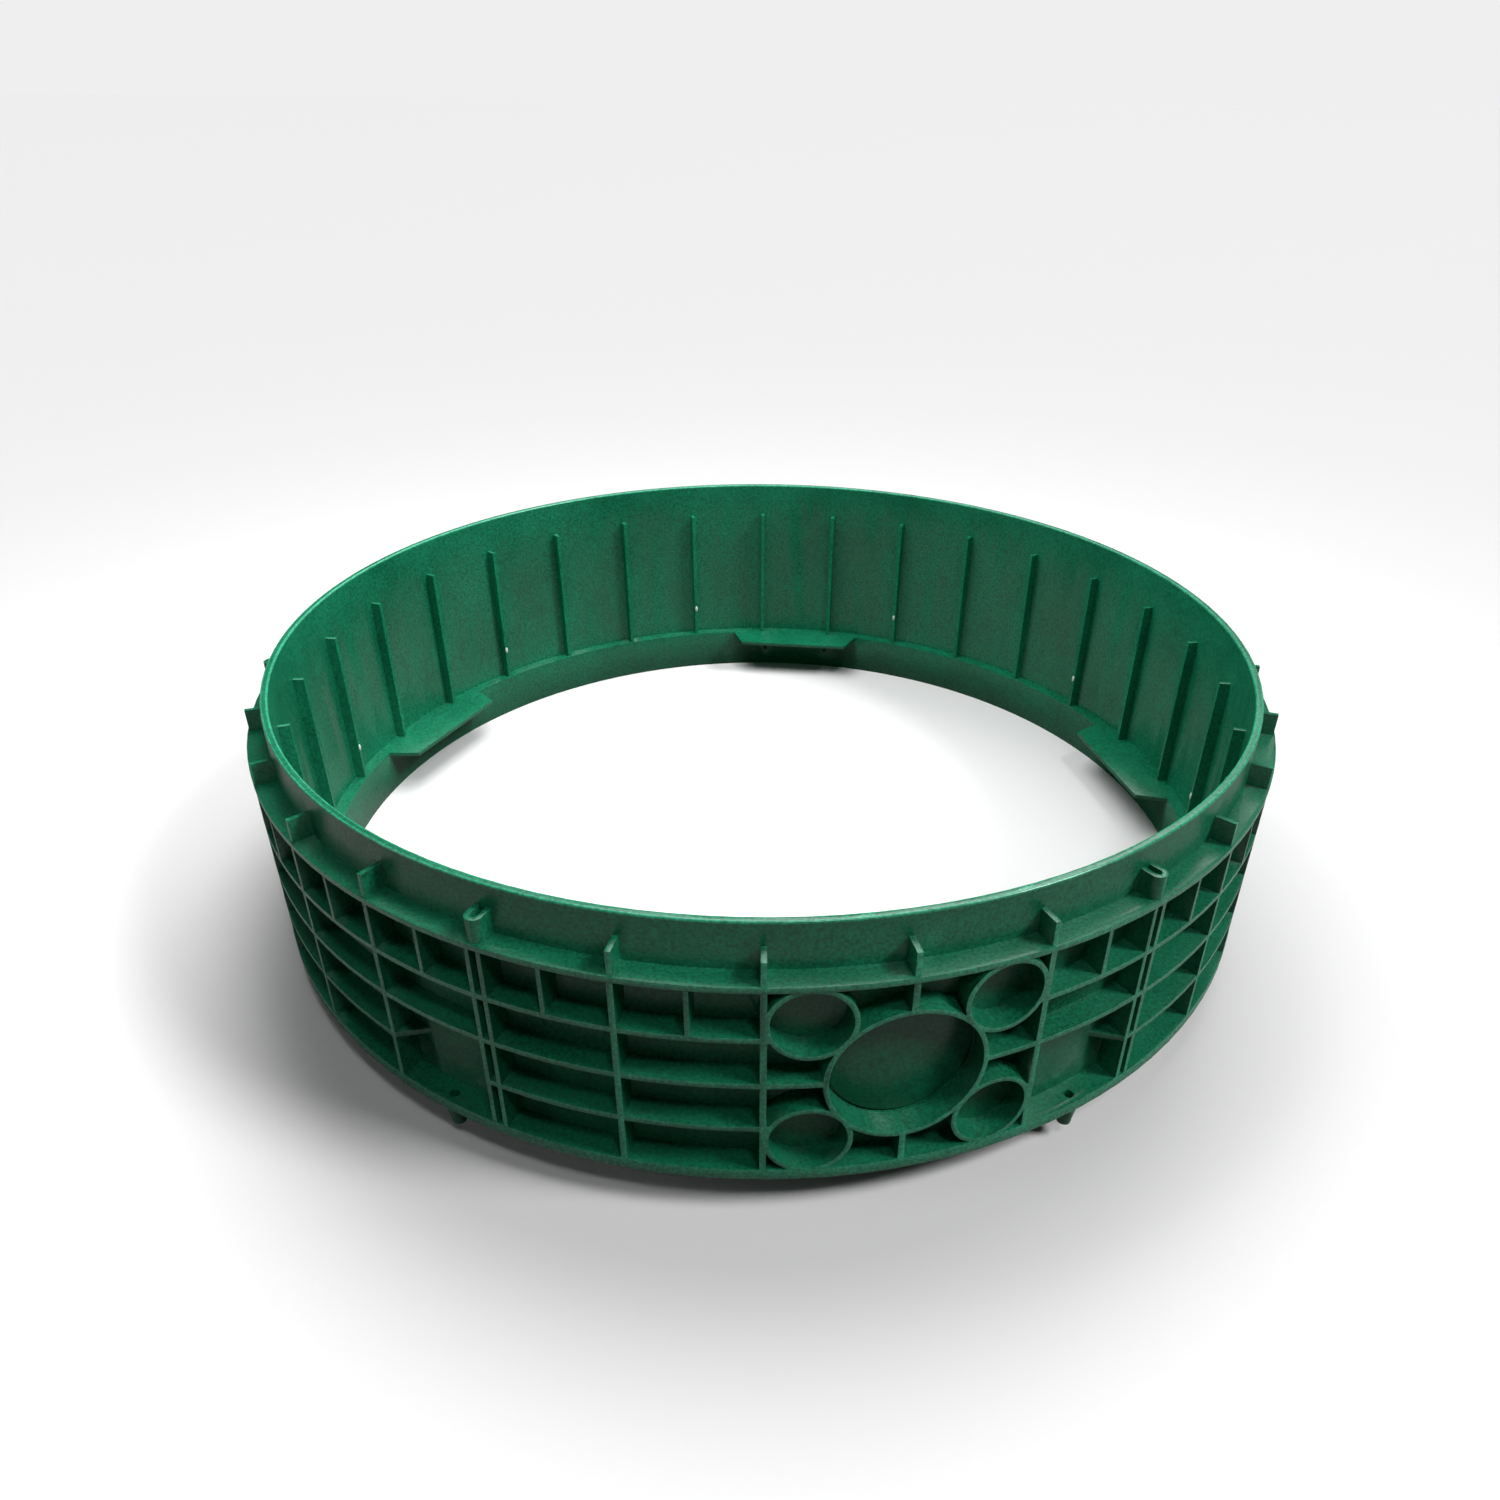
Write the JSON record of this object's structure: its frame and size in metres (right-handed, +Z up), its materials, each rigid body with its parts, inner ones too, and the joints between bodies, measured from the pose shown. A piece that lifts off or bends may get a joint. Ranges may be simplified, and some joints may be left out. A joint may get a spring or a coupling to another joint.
{
  "type": "septic tank riser",
  "caption": "Round moulded plastic access riser ring with a ribbed wall, raised rim socket, spigot band below, ledge tabs, screw bosses and pipe knock-outs, for stacking over a tank opening.",
  "frame": {"origin": "on the ring's axis, at the bottom edge of the spigot band that it stands on", "axes": "+Z up along the ring's axis, -Y out through the middle of the pipe knock-outs"},
  "size_m": [0.6625, 0.6626, 0.1761],
  "materials": {
    "green_plastic": "moulded polyethylene, satin"
  },
  "bodies": {
    "root": {"riser_ring": "green_plastic"}
  },
  "joints": []
}
